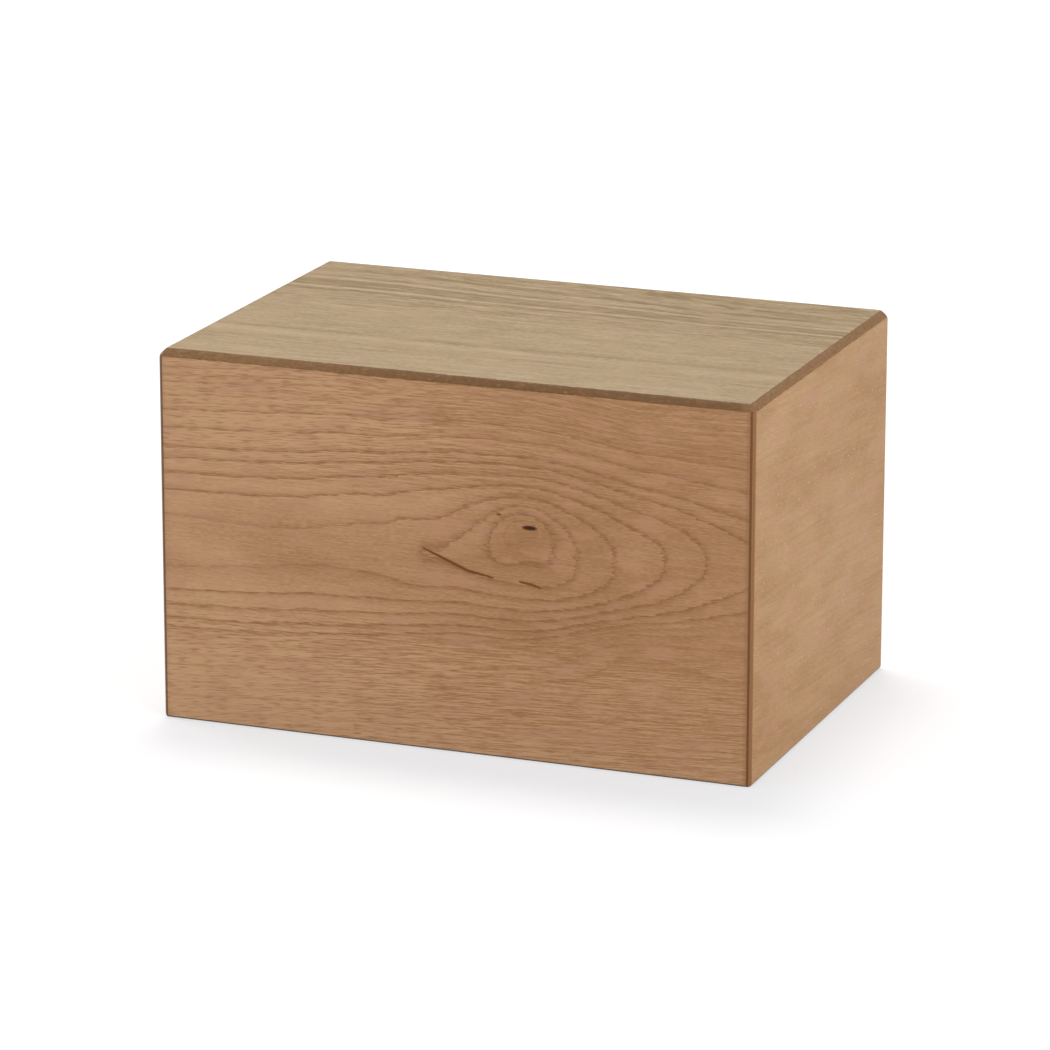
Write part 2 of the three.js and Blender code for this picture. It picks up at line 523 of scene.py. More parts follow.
def new_material(name, **shader_values):
    """A material with one shader, whose constant values are set on it directly."""
    material = bpy.data.materials.new(name)
    material.use_nodes = True
    tree = material.node_tree
    shader = tree.nodes["Principled BSDF"]
    for key, value in shader_values.items():
        shader.inputs[key.replace("_", " ")].default_value = value
    return material, tree, shader


def bumped(tree, shader, height, distance):
    """Bumps the surface by this many millimetres for a height of one."""
    values = {"Height": height, "Distance": distance * MM, "Strength": 1.0}
    tree.links.new(add(tree, "Bump", values).outputs[0], shader.inputs["Normal"])


def split(tree, vector):
    """The three parts of a vector."""
    return add(tree, "SeparateXYZ", {0: vector}).outputs


CORE_BROWN = colour(0.180, 0.088, 0.029)
CORE_LIGHT = colour(0.310, 0.167, 0.072)
CORE_RED = colour(0.260, 0.105, 0.055)
CORE_PALE = colour(0.310, 0.205, 0.115)
CORE_DARK = colour(0.110, 0.052, 0.018)
WORN_BROWN = colour(0.220, 0.101, 0.039)
WORN_DARK = colour(0.125, 0.042, 0.003)
FOOT_CONTACT_SHADE = colour(0.085, 0.048, 0.028)
CRACK_BROWN = colour(0.152, 0.052, 0.006)
PIT_DARK = colour(0.040, 0.012, 0.010)
RAY_PALE = colour(0.600, 0.440, 0.270)


def sanded_core_and_painted_light(tree, surface, worn, rubbed):
    """Over the veneer, the stained core that shows where the arrises are sanded through. The
    stained core is paler towards the left, and along the right end a painted sheen makes it
    paler still. Along the foot the arris is darkened with painted shade. worn is how far past
    the veneer, in mm, the core down the corners turns brown, and rubbed how brown the veneer
    is beside."""
    past = split(tree, stored(tree, "arris"))
    place = add(tree, "TexCoord").outputs["Object"]
    across_box = split(tree, place)[0]
    fine_noise = cloudy(tree, place, (0.0011, 0.0011, 0.0011), 2.0)
    jagged = maths(tree, "MULTIPLY_ADD", fine_noise, 0.5, -0.25)
    broad_noise = cloudy(tree, place, (0.007, 0.007, 0.007), 1.0)
    uneven = maths(tree, "MULTIPLY_ADD", broad_noise, 0.7, -0.35)
    speckle = cloudy(tree, place, (0.0022, 0.0022, 0.0008), 2.0, 0.7)
    blotch = cloudy(tree, place, (0.006, 0.006, 0.0018), 1.0)
    less_jagged = maths(tree, "MULTIPLY", jagged, 0.6)
    past_side = maths(tree, "ADD", past[0], less_jagged)
    past_foot = maths(tree, "ADD", past[2], less_jagged)
    past_top = maths(tree, "ADD", past[1], maths(tree, "ADD", jagged, uneven))
    past_top = maths(tree, "ADD", past_top, ease(tree, across_box, -0.12, 0.12, 0.3, 0.05))

    stain_and_sheen = mixed(tree, ease(tree, across_box, -0.1, 0.03, 0.6, 0.0), CORE_BROWN, CORE_LIGHT)
    # Painted sheen: along the right end the arris is made paler, as where the light catches it.
    stain_and_sheen = mixed(tree, ease(tree, across_box, 0.110, 0.1145, 0.0, 0.5), stain_and_sheen, CORE_LIGHT)
    core = mixed(tree, ease(tree, speckle, 0.32, 0.6), CORE_DARK, stain_and_sheen)
    core = mixed(tree, 0.6, core, stain_and_sheen)
    core = mixed(tree, ease(tree, blotch, 0.56, 0.72, 0, 0.6), core, CORE_RED)
    core = mixed(tree, ease(tree, speckle, 0.60, 0.74, 0, 0.6), core, CORE_PALE)
    core = mixed(tree, ease(tree, past_top, 0.45, 0.0, 0, 0.5), core, CORE_DARK)
    side_core = mixed(tree, ease(tree, past_side, worn, worn + 0.25), WORN_DARK, WORN_BROWN)
    # Painted shade: the arris along the foot is darkened, as in the shadow where it meets the floor.
    surface = mixed(tree, ease(tree, past_foot, -0.3, 0.1), surface, FOOT_CONTACT_SHADE)
    rub = ease(tree, across_box, -0.1, 0.05, 0.25 * rubbed, rubbed)
    surface = mixed(tree, ease(tree, past_side, -3.2, 0.1, 0, rub), surface, WORN_BROWN)
    surface = mixed(tree, ease(tree, past_side, -0.12 - rubbed * 0.7, 0.1), surface, side_core)
    return mixed(tree, ease(tree, past_top, -0.05, 0.15), surface, core)


def veneer(name, light, deep, line, pore, pink, streaks, fibre, patchy, broken_up, pore_length,
           pore_depth=0.4, coarse=1.0, lines=1.0, rays=0.0, sheen=0.25, worn=0.8, rubbed=0.0):
    """Satin veneer: year rings drawn in rows of dark pores, streaks along the grain and the
    stained core where the arrises are sanded through, with a painted sheen on the arris along
    the right end and painted shade on the arris along the foot. pore_length and coarse set the
    size of the marks along and across the grain, and the other numbers how strongly each shows."""
    material, tree, shader = new_material(name, Specular_IOR_Level=sheen, Coat_Weight=0.0)
    grain = stored(tree, "grain")
    count, spacing, strength = split(tree, stored(tree, "rings"))
    slant, steepness, _ = split(tree, stored(tree, "lie"))
    tone, pored, flaw = split(tree, stored(tree, "look"))

    patches = cloudy(tree, grain, (30, 11, 9), 2.0)
    long_streaks = cloudy(tree, grain, (6 * pore_length, 1.5 * coarse, 5), 2.0, 0.6)
    fibres = cloudy(tree, grain, (1.4 * pore_length, 0.56 * coarse, 3), 0.0)
    dashes = cloudy(tree, grain, (4, 0.6 * coarse, 3), 0.0)
    rows = cloudy(tree, grain, (9, 1.1, 3), 0.0)
    steps = cloudy(tree, grain, (2.4, 0.42 * coarse, 2), 0.0)
    jags = cloudy(tree, grain, (3, 0.9, 2), 1.0)

    shade = maths(tree, "MULTIPLY_ADD", tone, 0.5, 0.5)
    shade = maths(tree, "ADD", shade, ease(tree, patches, 0.3, 0.7, -patchy, patchy))
    shade = maths(tree, "ADD", shade, ease(tree, long_streaks, 0.3, 0.7, -streaks, streaks))
    along = maths(tree, "MULTIPLY", ease(tree, fibres, 0.3, 0.7, -fibre, fibre), pored)
    shade = maths(tree, "ADD", shade, along)
    shade = maths(tree, "ADD", shade, ease(tree, steps, 0.25, 0.75, -broken_up, broken_up))
    wood = mixed(tree, ease(tree, shade, 0.0, 1.0), deep, light)
    blush = cloudy(tree, grain, (17, 7, 6), 2.0)
    wood = mixed(tree, ease(tree, blush, 0.48, 0.68, 0, 0.6), wood, pink)

    wander = maths(tree, "MULTIPLY_ADD", cloudy(tree, grain, (9, 2.5, 4), 2.0), 0.8, -0.4)
    wander = maths(tree, "ADD", wander, maths(tree, "MULTIPLY_ADD", rows, 1.2, -0.6))
    jag = maths(tree, "MULTIPLY_ADD", jags, 5.0, -2.5)
    shift = maths(tree, "MULTIPLY_ADD", wander, steepness, maths(tree, "MULTIPLY", jag, slant))
    moved = maths(tree, "ADD", count, maths(tree, "DIVIDE", shift, spacing))
    width = maths(tree, "DIVIDE", spacing, steepness)
    past_line = maths(tree, "MULTIPLY", maths(tree, "FRACT", moved), width)
    thinned = maths(tree, "ADD", maths(tree, "ABSOLUTE", slant), 1.0)
    past_line = maths(tree, "DIVIDE", past_line, thinned)
    band = ease(tree, past_line, 1.3, 0.45)
    wide_band = ease(tree, past_line, 2.8, 0.8)
    broken = ease(tree, dashes, 0.36, 0.58, 0.3, 1.0)
    drawn = maths(tree, "MULTIPLY", maths(tree, "MULTIPLY", band, broken), strength)
    shown = maths(tree, "MULTIPLY", wide_band, strength)
    wood = mixed(tree, maths(tree, "MULTIPLY", shown, 0.17 * lines), wood, line)
    wood = mixed(tree, maths(tree, "MULTIPLY", drawn, 0.55 * lines), wood, line)

    pore_rows = cloudy(tree, grain, (0.5 * pore_length, 0.5 * coarse, 2.5), 0.0)
    open_pores = maths(tree, "MULTIPLY", ease(tree, pore_rows, 0.55, 0.72), pored)
    wood = mixed(tree, maths(tree, "MULTIPLY", open_pores, pore_depth), wood, pore)
    flecks = maths(tree, "MULTIPLY", ease(tree, pore_rows, 0.44, 0.28), pored)
    wood = mixed(tree, maths(tree, "MULTIPLY", flecks, pore_depth), wood, light)
    ray_flecks = cloudy(tree, grain, (2.2, 0.7, 2.1), 0.0)
    wood = mixed(tree, ease(tree, ray_flecks, 0.75, 0.82, 0, rays), wood, RAY_PALE)
    wood = mixed(tree, ease(tree, flaw, 0.0, 0.12, 0, 0.16), wood, line)
    wood = mixed(tree, ease(tree, flaw, 0.13, 0.45), wood, CRACK_BROWN)
    wood = mixed(tree, ease(tree, flaw, 0.66, 0.9), wood, PIT_DARK)
    tree.links.new(sanded_core_and_painted_light(tree, wood, worn, rubbed), shader.inputs["Base Color"])

    rough = maths(tree, "MULTIPLY_ADD", flaw, 0.3, ease(tree, fibres, 0.3, 0.7, 0.44, 0.54))
    tree.links.new(rough, shader.inputs["Roughness"])
    sunk = maths(tree, "MULTIPLY_ADD", open_pores, 0.6, maths(tree, "MULTIPLY", drawn, 0.4))
    bumped(tree, shader, maths(tree, "SUBTRACT", maths(tree, "MULTIPLY", fibres, 0.3), sunk), 0.03)
    return material


def raw_board(name, light, deep):
    """Fibreboard as sawn: even, matt and finely speckled."""
    material, tree, shader = new_material(name, Specular_IOR_Level=0.3, Roughness=0.85)
    place = add(tree, "TexCoord").outputs["Object"]
    specks = cloudy(tree, place, (0.0011, 0.0011, 0.0011), 3.0, 0.7)
    clouds = cloudy(tree, place, (0.03, 0.03, 0.03), 2.0)
    speckled = ease(tree, specks, 0.35, 0.65, 0, 0.6)
    share = maths(tree, "ADD", speckled, ease(tree, clouds, 0.3, 0.7, 0, 0.4))
    tree.links.new(mixed(tree, share, deep, light), shader.inputs["Base Color"])
    bumped(tree, shader, specks, 0.06)
    return material


raw_fibreboard = raw_board("raw_fibreboard", colour(0.40, 0.27, 0.155), colour(0.30, 0.19, 0.10))


def finish_board(piece, outer_rows, columns, face_material):
    """Veneer on the outer face, and raw board on the mitres, the rebate and the inside."""
    piece.data.materials.append(face_material)
    piece.data.materials.append(raw_fibreboard)
    inside = np.ones(len(piece.data.polygons), np.int32)
    inside[:(outer_rows - 1) * (columns - 1)] = 0
    piece.data.polygons.foreach_set("material_index", inside)
    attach(piece, "root")


def wall_section(pitch_at):
    """A wall's section, round from its top edge: down its face, across the rim, up the rebate
    and the inside. Also how many of its points are on the face and the foot's arris."""
    face = [(b, 0.0) for b in marks(0, HEIGHT, pitch_at)[::-1]]
    foot = [(0.0, d) for d in np.linspace(0, FOOT_REACH, FOOT_MARKS)[1:]]
    back = [
        (0.0, 3.0),
        (0.0, RIM),
        (REBATE_TOP, RIM),
        (REBATE_TOP, BOARD),
        (REBATE_TOP + 40, BOARD),
        (HEIGHT - BOARD - 40, BOARD),
        (HEIGHT - BOARD, BOARD),
    ]
    return face + foot + back, len(face) + FOOT_MARKS - 1


# The part of the front round the knot, where the mesh is finest, by mm along and up.
FINE_U = (98, 190)
FINE_V = (58, 106)
KNOT_PITCH = 0.42
KNOT_PITCH_GROWTH = 0.08


def front_pitch(edge_pitch, start, stop):
    """The pitch beside the edges, made finer round the knot, from start to stop."""
    def pitch_at(place):
        away = np.maximum(np.maximum(start - place, place - stop), 0)
        return np.minimum(edge_pitch(place), KNOT_PITCH + away * KNOT_PITCH_GROWTH)
    return pitch_at


front = Board((1, 0, 0), (0, 0, 1), (0, -1, 0), (0, -DEPTH / 2, 0))
front_columns = marks(-WIDTH / 2, WIDTH / 2, front_pitch(
    edged_pitch(-WIDTH / 2, WIDTH / 2, 1.3), FINE_U[0] - WIDTH / 2, FINE_U[1] - WIDTH / 2))
front_section, front_outer = wall_section(front_pitch(edged_pitch(0, HEIGHT, 1.1), *FINE_V))
front_board, points, a, b = board_mesh(
    "front_board", front, front_columns, front_section, front_outer, HEIGHT, None, hollow=hollowed)
u = a + WIDTH / 2
growth = front_growth(u, b)
above = ring_lines(46.2, 2.5, 0.48, 90, seed=4)
below = ring_lines(35.4, 2.7, 0.48, 90, seed=9)
upper = ring_fields(growth, KNOT_RINGS + RINGS_ABOVE + above)
lower = ring_fields(growth, KNOT_RINGS + below)
is_upper = b > through(u, PITH_HEIGHT)
fields = [np.where(is_upper, over, under) for over, under in zip(upper, lower)]
# The innermost rings are fainter left of the knot.
fields[2] = fields[2] * (1 - RING_FADE * (1 - eased(growth, 19, 21)) * (1 - eased(u, 55, 105)))
give_figure(
    front_board, u, b, front_growth, fields, grain=(u, flow_height(u, b, growth), 0),
    tone=patch_tones(u, b, FRONT_PATCHES_AND_LIGHT_FALL), pores=front_pores(u, b), flaw=flaws(u, b))
give_arrises(front_board, points)
front_veneer = veneer(
    "front_veneer",
    light=colour(0.502, 0.290, 0.153),
    deep=colour(0.314, 0.150, 0.058),
    line=colour(0.200, 0.078, 0.022),
    pore=colour(0.200, 0.082, 0.028),
    pink=colour(0.430, 0.226, 0.125),
    streaks=0.03, fibre=0.34, patchy=0.06, broken_up=0.11, pore_length=11.0,
    worn=0.75, rubbed=0.6,
)
finish_board(front_board, front_outer, len(front_columns), front_veneer)
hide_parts("front_panel")


# The top board: the same fibreboard and veneer, straight in the grain, with a group of dark
# and light streaks towards the back. All four of its edges are mitred down onto the walls.
TOP_RINGS = [(0, 0.2), (20, 0.4), (30, 0.5), (38, 0.3), (46, 0.6), (50, 0.4)]
TOP_PATCHES = [
    (149, 150, 14, 4, -0.7),
    (117, 5, 200, 60, 0.2),
    (117, 160, 200, 40, -0.15),
]
# How far each streak is from the front edge at its left end, its half width, and how much
# lighter it is. STREAK_FALL is how far the streaks come forward on their way to the right.
TOP_STREAKS = [
    (144, 1.4, -1.7),
    (139, 2.2, 0.4),
    (133.5, 1.3, -0.7),
    (130, 1.2, 1.1),
    (126.3, 1.1, -1.3),
    (122.8, 1.2, -0.8),
    (119, 1.2, -1.5),
    (115.5, 1.1, 1.5),
    (111.5, 1.3, -1.0),
    (99, 5, -0.25),
    (48, 1.8, -0.35),
    (40.5, 2.4, 0.3),
    (32.5, 1.6, -0.2),
    (26.5, 1.4, -0.25),
]
STREAK_FALL = [(0, 0), (45, 0), (86, 5.6), (143, 9.8), (171, 14.7), (235, 18)]
SECOND_STREAK = [(130, 158), (143, 151.5), (164, 143), (200, 137.5), (235, 135)]
SECOND_STREAK_HALF = 1.3
SECOND_STREAK_TONE = -1.1

top = Board((1, 0, 0), (0, 1, 0), (0, 0, 1), (0, 0, HEIGHT))
top_columns = marks(-WIDTH / 2, WIDTH / 2, edged_pitch(-WIDTH / 2, WIDTH / 2, 2.4))
top_marks = marks(-DEPTH / 2, DEPTH / 2, edged_pitch(-DEPTH / 2, DEPTH / 2, 0.9))[::-1]
inner = DEPTH / 2 - BOARD
top_section = [(b, 0.0) for b in top_marks] + [(b, BOARD) for b in np.linspace(-inner, inner, 4)]
top_board, points, a, b = board_mesh(
    "top_board", top, top_columns, top_section, len(top_marks), DEPTH / 2, -DEPTH / 2)
u = a + WIDTH / 2
v = b + DEPTH / 2


def straightened(u, v):
    """How far from the front edge the grain through a place starts, at the left end."""
    return v + through(u, STREAK_FALL) * eased(v, 90, 138)


level = straightened(u, v)
tone = sum(amount * np.exp(-((level - place) / half) ** 2) for place, half, amount in TOP_STREAKS)
off_streak = (v - through(u, SECOND_STREAK)) / SECOND_STREAK_HALF
tone += SECOND_STREAK_TONE * np.exp(-off_streak ** 2) * eased(u, 136, 150)
tone += patch_tones(u, v, TOP_PATCHES)
top_rings = TOP_RINGS + ring_lines(60, 7, 0.3, 104, seed=2) + ring_lines(108, 2.6, 0.8, 190, seed=3)
give_figure(
    top_board, u, v, straightened, ring_fields(level, top_rings), grain=(u, level, 70),
    tone=tone, pores=0.45 + 0.55 * eased(v, 80, 105))
give_arrises(top_board, points)
top_veneer = veneer(
    "top_veneer",
    light=colour(0.540, 0.398, 0.240),
    deep=colour(0.283, 0.185, 0.078),
    line=colour(0.180, 0.106, 0.042),
    pore=colour(0.180, 0.108, 0.046),
    pink=colour(0.440, 0.295, 0.165),
    streaks=0.06, fibre=0.28, patchy=0.05, broken_up=0.13, pore_length=14.0,
    pore_depth=0.42, coarse=1.4, lines=0.55, sheen=0.3,
)
finish_board(top_board, len(top_marks), len(top_columns), top_veneer)
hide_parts("top_panel")


# The right and left boards: paler quarter-sawn veneer of the same wood on the same
# fibreboard, with a soft straight grain that falls a little towards the back.
GRAIN_SLOPE = 0.02
GRAIN_BEND = 0.0004
GRAIN_WAVE = 1.5
GRAIN_WAVE_RUN = 38
SIDE_PATCHES = [
    (125, 120, 30, 13, -0.4),
    (30, 131, 40, 8, 0.3),
    (60, 104, 60, 5, -0.25),
    (12, 30, 16, 34, -0.35),
    (70, 66, 40, 22, 0.25),
]


def grain_level(u, v):
    """The height at which the grain through a place meets the board's front edge."""
    return v + GRAIN_SLOPE * u + GRAIN_BEND * u * u + GRAIN_WAVE * np.sin(u / GRAIN_WAVE_RUN)


def side_board(name, node, board, seed, run):
    """An end wall. run says whether its grain falls along the board or against it."""
    columns = marks(-DEPTH / 2, DEPTH / 2, edged_pitch(-DEPTH / 2, DEPTH / 2, 2.4))
    section, outer = wall_section(edged_pitch(0, HEIGHT, 1.6))
    piece, points, a, b = board_mesh(name, board, columns, section, outer, HEIGHT, None)
    u = run * a + DEPTH / 2
    level = grain_level(u, b)
    lines = ring_lines(-20, 6.0, 0.5, 190, seed=seed)
    tone = patch_tones(u, level, SIDE_PATCHES)
    give_figure(
        piece, u, b, grain_level, ring_fields(level, lines), grain=(u, level, seed * 31),
        tone=tone, pores=0.35)
    give_arrises(piece, points)
    finish_board(piece, outer, len(columns), side_veneer)
    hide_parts(node)


side_veneer = veneer(
    "side_veneer",
    light=colour(0.420, 0.246, 0.111),
    deep=colour(0.310, 0.150, 0.043),
    line=colour(0.215, 0.098, 0.032),
    pore=colour(0.200, 0.092, 0.036),
    pink=colour(0.402, 0.200, 0.103),
    streaks=0.1, fibre=0.2, patchy=0.14, broken_up=0.07, pore_length=6.0,
    pore_depth=0.5, lines=0.4, rays=0.5, sheen=0.2, worn=-0.2,
)
right = Board((0, 1, 0), (0, 0, 1), (1, 0, 0), (WIDTH / 2, 0, 0))
left = Board((0, -1, 0), (0, 0, 1), (-1, 0, 0), (-WIDTH / 2, 0, 0))
side_board("right_board", "right_panel", right, seed=5, run=1)
side_board("left_board", "left_panel", left, seed=8, run=-1)


# The back board: made and mitred like the front, but faced with a plainer leaf of the
# veneer, whose rings make long arches.
back = Board((-1, 0, 0), (0, 0, 1), (0, 1, 0), (0, DEPTH / 2, 0))
back_columns = marks(-WIDTH / 2, WIDTH / 2, edged_pitch(-WIDTH / 2, WIDTH / 2, 2.4))
back_section, back_outer = wall_section(edged_pitch(0, HEIGHT, 1.2))
back_board, points, a, b = board_mesh(
    "back_board", back, back_columns, back_section, back_outer, HEIGHT, None)
u = a + WIDTH / 2
ARCH_MIDDLE = 30
ARCH_END = 250
ARCH_WAVE = 6
ARCH_WAVE_RUN = 60
ARCH_HEART = 14
ARCH_BLUNTNESS = 4
BACK_PATCHES = [
    (80, 90, 60, 8, 0.3),
    (160, 40, 60, 6, -0.25),
]


def arched(u, v):
    """The radius of growth on the back: long arches that open to the right, seen from behind."""
    rise = v - ARCH_MIDDLE - ARCH_WAVE * np.sin(u / ARCH_WAVE_RUN)
    return ARCH_HEART + np.hypot(rise * 0.9, 0.01 * (u - ARCH_END) ** 2 / 9 + ARCH_BLUNTNESS)


give_figure(
    back_board, u, b, arched, ring_fields(arched(u, b), ring_lines(0, 4.4, 0.9, 190, seed=6)),
    grain=(u, b, 210), tone=patch_tones(u, b, BACK_PATCHES), pores=0.6)
give_arrises(back_board, points)
finish_board(back_board, back_outer, len(back_columns), front_veneer)
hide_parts("back_panel")


# The base: a thinner board of the same raw fibreboard, sawn to size, its edges eased with
# sandpaper. It lies in the rebate, held by the four screws, with a countersunk hole for each.
base_board = bpy.data.objects.new("base_board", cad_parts["base_panel"].data.copy())
bpy.context.scene.collection.objects.link(base_board)
base_board.data.materials.clear()
base_material = raw_board("base_fibreboard", colour(0.43, 0.29, 0.165), colour(0.33, 0.21, 0.115))
base_board.data.materials.append(base_material)
weld = base_board.modifiers.new("weld", "WELD")
weld.merge_threshold = 0.01 * MM
eased_edge = base_board.modifiers.new("eased edge", "BEVEL")
eased_edge.width = 0.25 * MM
eased_edge.segments = 2
eased_edge.limit_method = "ANGLE"
eased_edge.angle_limit = math.radians(50)
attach(base_board, "root")
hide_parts("base_panel")


# The base screws: four 3 x 16 mm countersunk wood screws of bright zinc-plated steel, with
# a cross recess. They are turned home by hand, so each cross stands at its own angle.
SCREW_NODES = ["base_screw_1", "base_screw_2", "base_screw_3", "base_screw_4"]
screw_boxes = [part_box(node) for node in SCREW_NODES]
screw_low = Vector(map(min, *(low for low, high in screw_boxes)))
screw_high = Vector(map(max, *(high for low, high in screw_boxes)))
one_low, one_high = screw_boxes[0]
HEAD = (one_high.x - one_low.x) / MM / 2
SHANK = HEAD / 2
HEAD_RIM = 0.3
SCREW_LENGTH = (one_high.z - one_low.z) / MM
THREAD_START = 4.5
THREAD_PITCH = 1.35
THREAD_ROOT = SHANK * 0.72
THREAD_CREST = SHANK * 0.98


def screw_profile():
    """Radius and height from the head's face to the point, with the thread as plain rings."""
    profile = [(0, 0), (HEAD - 0.15, 0), (HEAD, 0.12), (HEAD, HEAD_RIM)]
    profile.append((SHANK, HEAD_RIM + HEAD - SHANK))
    height = THREAD_START
    while height < SCREW_LENGTH - 3:
        profile += [(THREAD_ROOT, height), (THREAD_CREST, height + THREAD_PITCH * 0.5)]
        height += THREAD_PITCH
    return profile + [(THREAD_ROOT, SCREW_LENGTH - 2.6), (0.25, SCREW_LENGTH), (0, SCREW_LENGTH)]


def turned(name, profile, sides=32):
    """A turned piece, its axis along Z, as a closed mesh."""
    corners = []
    faces = []
    rings = profile[1:-1]
    for radius, height in rings:
        for i in range(sides):
            angle = 2 * math.pi * i / sides
            x = radius * math.cos(angle)
            y = radius * math.sin(angle)
            corners.append((x * MM, y * MM, height * MM))
    corners += [(0, 0, profile[0][1] * MM), (0, 0, profile[-1][1] * MM)]
    for i in range(sides):
        following = (i + 1) % sides
        faces.append((len(corners) - 2, following, i))
        for ring in range(len(rings) - 1):
            low = ring * sides
            faces.append((low + i, low + following, low + sides + following, low + sides + i))
        last = (len(rings) - 1) * sides
        faces.append((last + i, last + following, len(corners) - 1))
    mesh = bpy.data.meshes.new(name)
    mesh.from_pydata(corners, [], faces)
    piece = bpy.data.objects.new(name, mesh)
    bpy.context.scene.collection.objects.link(piece)
    return piece


def cross_cutter(arm, width, depth):
    """The driver's cross, tapering to its bottom, as it is pressed into the head."""
    half = width / 2
    outline = [
        (half, half), (half, arm), (-half, arm), (-half, half), (-arm, half), (-arm, -half),
        (-half, -half), (-half, -arm), (half, -arm), (half, -half), (arm, -half), (arm, half),
    ]
    corners = [(x * MM, y * MM, -0.5 * MM) for x, y in outline]
    corners += [(x * 0.55 * MM, y * 0.55 * MM, depth * MM) for x, y in outline]
    count = len(outline)
    faces = [tuple(reversed(range(count))), tuple(range(count, 2 * count))]
    faces += [(i, (i + 1) % count, (i + 1) % count + count, i + count) for i in range(count)]
    mesh = bpy.data.meshes.new("cross")
    mesh.from_pydata(corners, [], faces)
    piece = bpy.data.objects.new("cross", mesh)
    bpy.context.scene.collection.objects.link(piece)
    return piece


def plain_mesh(piece, name):
    """The piece as its modifiers leave it, as a mesh of its own."""
    bpy.context.view_layer.update()
    evaluated = piece.evaluated_get(bpy.context.evaluated_depsgraph_get())
    mesh = bpy.data.meshes.new_from_object(evaluated)
    mesh.name = name
    return mesh


zinc, zinc_tree, zinc_shader = new_material("bright_zinc", Metallic=1.0, Roughness=0.32)
zinc_place = add(zinc_tree, "TexCoord").outputs["Object"]
zinc_cloud = cloudy(zinc_tree, zinc_place, (0.002, 0.002, 0.002), 3.0)
zinc_colour = mixed(zinc_tree, zinc_cloud, colour(0.55, 0.54, 0.50), colour(0.70, 0.70, 0.68))
zinc_tree.links.new(zinc_colour, zinc_shader.inputs["Base Color"])
bumped(zinc_tree, zinc_shader, cloudy(zinc_tree, zinc_place, (0.0004, 0.0004, 0.0004), 2.0), 0.01)

blank = turned("screw_blank", screw_profile())
cutter = cross_cutter(arm=1.7, width=0.75, depth=1.3)
recess = blank.modifiers.new("cross", "BOOLEAN")
recess.object = cutter
recess.operation = "DIFFERENCE"
recess.solver = "EXACT"
one_screw = plain_mesh(blank, "one_screw")
bpy.data.objects.remove(cutter)
bpy.data.objects.remove(blank)


def screw_layout():
    """Stands a copy of the screw at each corner of a rectangle, each turned by chance."""
    tree = bpy.data.node_groups.new("screws at the corners", "GeometryNodeTree")
    for name, kind in (("Screw", "Geometry"), ("Apart along", "Float"), ("Apart across", "Float"),
                       ("Height", "Float"), ("Seed", "Int"), ("Finish", "Material")):
        tree.interface.new_socket(name, in_out="INPUT", socket_type="NodeSocket" + kind)
    tree.interface.new_socket("Screws", in_out="OUTPUT", socket_type="NodeSocketGeometry")
    given = tree.nodes.new("NodeGroupInput").outputs
    grid = tree.nodes.new("GeometryNodeMeshGrid")
    grid.inputs["Vertices X"].default_value = 2
    grid.inputs["Vertices Y"].default_value = 2
    lift = tree.nodes.new("ShaderNodeCombineXYZ")
    move = tree.nodes.new("GeometryNodeSetPosition")
    spin = tree.nodes.new("FunctionNodeRandomValue")
    spin.data_type = "FLOAT_VECTOR"
    spin.inputs["Max"].default_value = (0, 0, math.pi / 2)
    stand = tree.nodes.new("GeometryNodeInstanceOnPoints")
    real = tree.nodes.new("GeometryNodeRealizeInstances")
    finish = tree.nodes.new("GeometryNodeSetMaterial")
    result = tree.nodes.new("NodeGroupOutput")
    for start, stop in (
        (given["Apart along"], grid.inputs["Size X"]),
        (given["Apart across"], grid.inputs["Size Y"]),
        (given["Height"], lift.inputs["Z"]),
        (grid.outputs["Mesh"], move.inputs["Geometry"]),
        (lift.outputs[0], move.inputs["Offset"]),
        (given["Seed"], spin.inputs["Seed"]),
        (move.outputs[0], stand.inputs["Points"]),
        (given["Screw"], stand.inputs["Instance"]),
        (spin.outputs[0], stand.inputs["Rotation"]),
        (stand.outputs[0], real.inputs[0]),
        (real.outputs[0], finish.inputs["Geometry"]),
        (given["Finish"], finish.inputs["Material"]),
        (finish.outputs[0], result.inputs[0]),
    ):
        tree.links.new(start, stop)
    return tree


base_screws = bpy.data.objects.new("base_screws", one_screw)
bpy.context.scene.collection.objects.link(base_screws)
layout = base_screws.modifiers.new("layout", "NODES")
layout.node_group = screw_layout()
sockets = {item.name: item.identifier for item in layout.node_group.interface.items_tree}
layout[sockets["Apart along"]] = screw_high.x - screw_low.x - 2 * HEAD * MM
layout[sockets["Apart across"]] = screw_high.y - screw_low.y - 2 * HEAD * MM
layout[sockets["Height"]] = screw_low.z
layout[sockets["Seed"]] = 11
layout[sockets["Finish"]] = zinc
screws_mesh = plain_mesh(base_screws, "base_screws")
base_screws.modifiers.clear()
base_screws.data = screws_mesh
screws_mesh.polygons.foreach_set("use_smooth", np.ones(len(screws_mesh.polygons), bool))
screws_mesh.set_sharp_from_angle(angle=math.radians(35))
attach(base_screws, "root")
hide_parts(*SCREW_NODES)


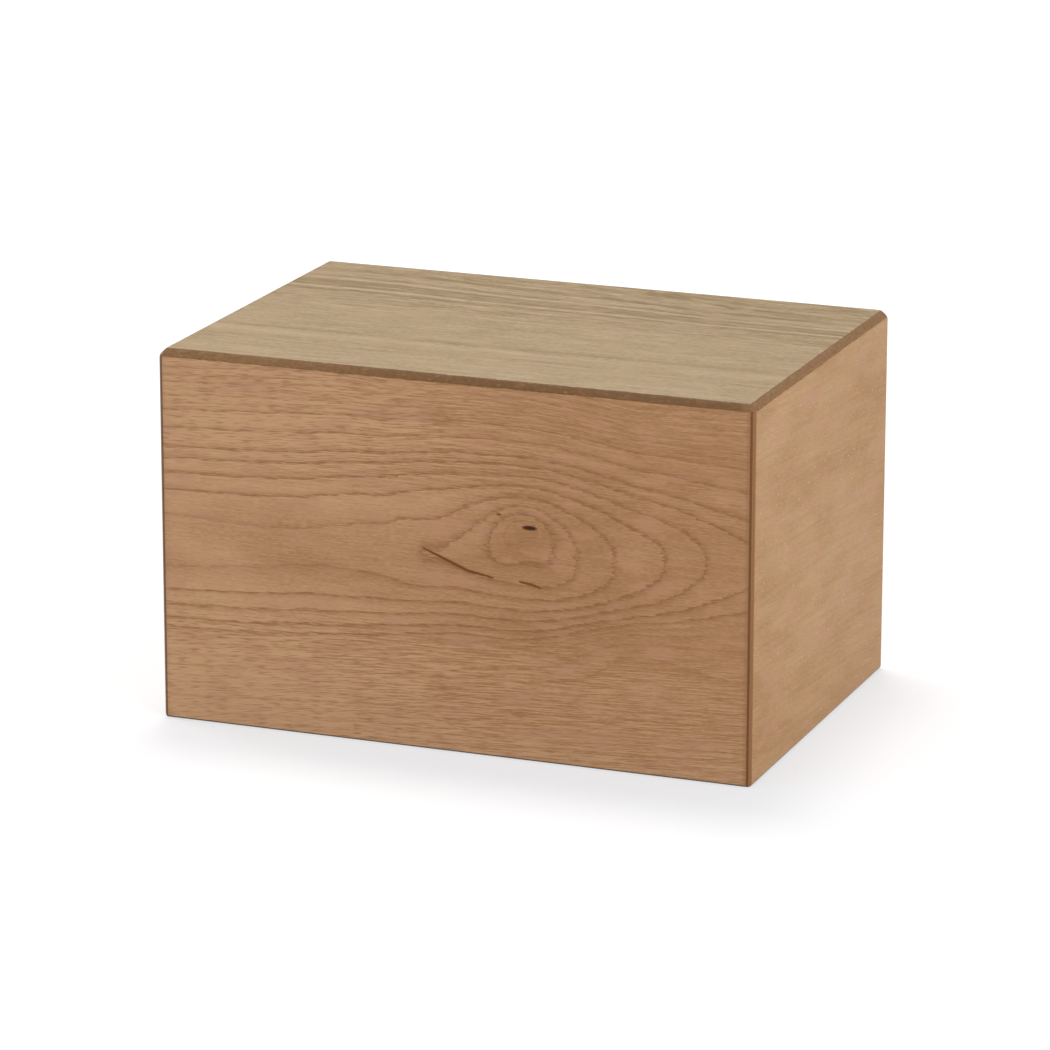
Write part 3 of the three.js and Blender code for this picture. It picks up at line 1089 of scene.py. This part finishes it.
# The floor: one wide pale sheet that the box stands on, seamless to the top of the picture.
FLOOR_SIZE = 30.0
FLOOR_GLOW = 1.0
floor_mesh = bpy.data.meshes.new("floor")
floor_half = FLOOR_SIZE / 2
floor_mesh.from_pydata(
    [(-floor_half, -floor_half, 0), (floor_half, -floor_half, 0),
     (floor_half, floor_half, 0), (-floor_half, floor_half, 0)], [], [(0, 1, 2, 3)])
floor = bpy.data.objects.new("floor", floor_mesh)
bpy.context.scene.collection.objects.link(floor)
floor_material, floor_tree, floor_shader = new_material(
    "pale_floor", Base_Color=colour(0.548, 0.50, 0.476), Roughness=1.0, Specular_IOR_Level=0.0,
    Emission_Color=colour(0.508, 0.553, 0.585), Emission_Strength=FLOOR_GLOW)
floor_place = add(floor_tree, "TexCoord").outputs["Object"]
from_box = add(floor_tree, "VectorMath", {0: floor_place}, operation="LENGTH").outputs["Value"]
glow = ease(floor_tree, from_box, 0.2, 1.0, FLOOR_GLOW, 1.3 * FLOOR_GLOW)
floor_tree.links.new(glow, floor_shader.inputs["Emission Strength"])
floor_mesh.materials.append(floor_material)


# The light: an even studio tent, a lamp high behind the box, whose soft shadow falls towards
# the camera, one low on the right of the front and a weak one on the left.
TENT_STRENGTH = 0.5
LAMP_TARGET = (0, 0, 0.07)
world = bpy.data.worlds.new("studio")
world.use_nodes = True
tent = world.node_tree.nodes["Background"]
tent.inputs["Color"].default_value = colour(1.0, 1.0, 1.0)
tent.inputs["Strength"].default_value = TENT_STRENGTH
bpy.context.scene.world = world
bpy.context.scene.view_settings.view_transform = "Standard"


def soft_lamp(name, place, size, power):
    """A round lamp that is aimed at the middle of the box. Its place and size are in metres."""
    data = bpy.data.lights.new(name, "AREA")
    data.shape = "DISK"
    data.size = size
    data.energy = power
    lamp = bpy.data.objects.new(name, data)
    way = Vector(LAMP_TARGET) - Vector(place)
    turn = way.to_track_quat("-Z", "Y").to_matrix().to_4x4()
    lamp.matrix_world = Matrix.Translation(place) @ turn
    bpy.context.scene.collection.objects.link(lamp)


soft_lamp("high back lamp", (-0.18, 0.40, 1.75), 0.55, 12.5)
soft_lamp("front right lamp", (2.0, -1.1, 0.55), 1.2, 26)
soft_lamp("left lamp", (-1.6, 0.5, 0.7), 0.8, 8)


# The camera: a long lens, a little above the box and to the right of its front. Its values
# were fitted to the photo's edges by a least-squares program. Its distance and its shifts
# are in widths of the box.
LENS = 184.45
SENSOR = 36.0
AZIMUTH = math.radians(21.09)
ELEVATION = math.radians(15.753)
ROLL = math.radians(0.073)
AWAY = 8.732 * WIDTH * MM
SHIFT_RIGHT = -0.0059 * WIDTH * MM
SHIFT_UP = -0.0217 * WIDTH * MM

backward = Vector((
    math.sin(AZIMUTH) * math.cos(ELEVATION),
    -math.cos(AZIMUTH) * math.cos(ELEVATION),
    math.sin(ELEVATION),
))
sideways = Vector((math.cos(AZIMUTH), math.sin(AZIMUTH), 0))
upright = backward.cross(sideways)
rightward = math.cos(ROLL) * sideways + math.sin(ROLL) * upright
upward = -math.sin(ROLL) * sideways + math.cos(ROLL) * upright
camera_data = bpy.data.cameras.new("camera")
camera_data.lens = LENS
camera_data.sensor_width = SENSOR
camera = bpy.data.objects.new("camera", camera_data)
box_middle = Vector((0, 0, HEIGHT * MM / 2))
camera_place = box_middle + backward * AWAY + rightward * SHIFT_RIGHT + upward * SHIFT_UP
camera_turn = Matrix((rightward, upward, backward)).transposed().to_4x4()
camera.matrix_world = Matrix.Translation(camera_place) @ camera_turn
bpy.context.scene.collection.objects.link(camera)
bpy.context.scene.camera = camera
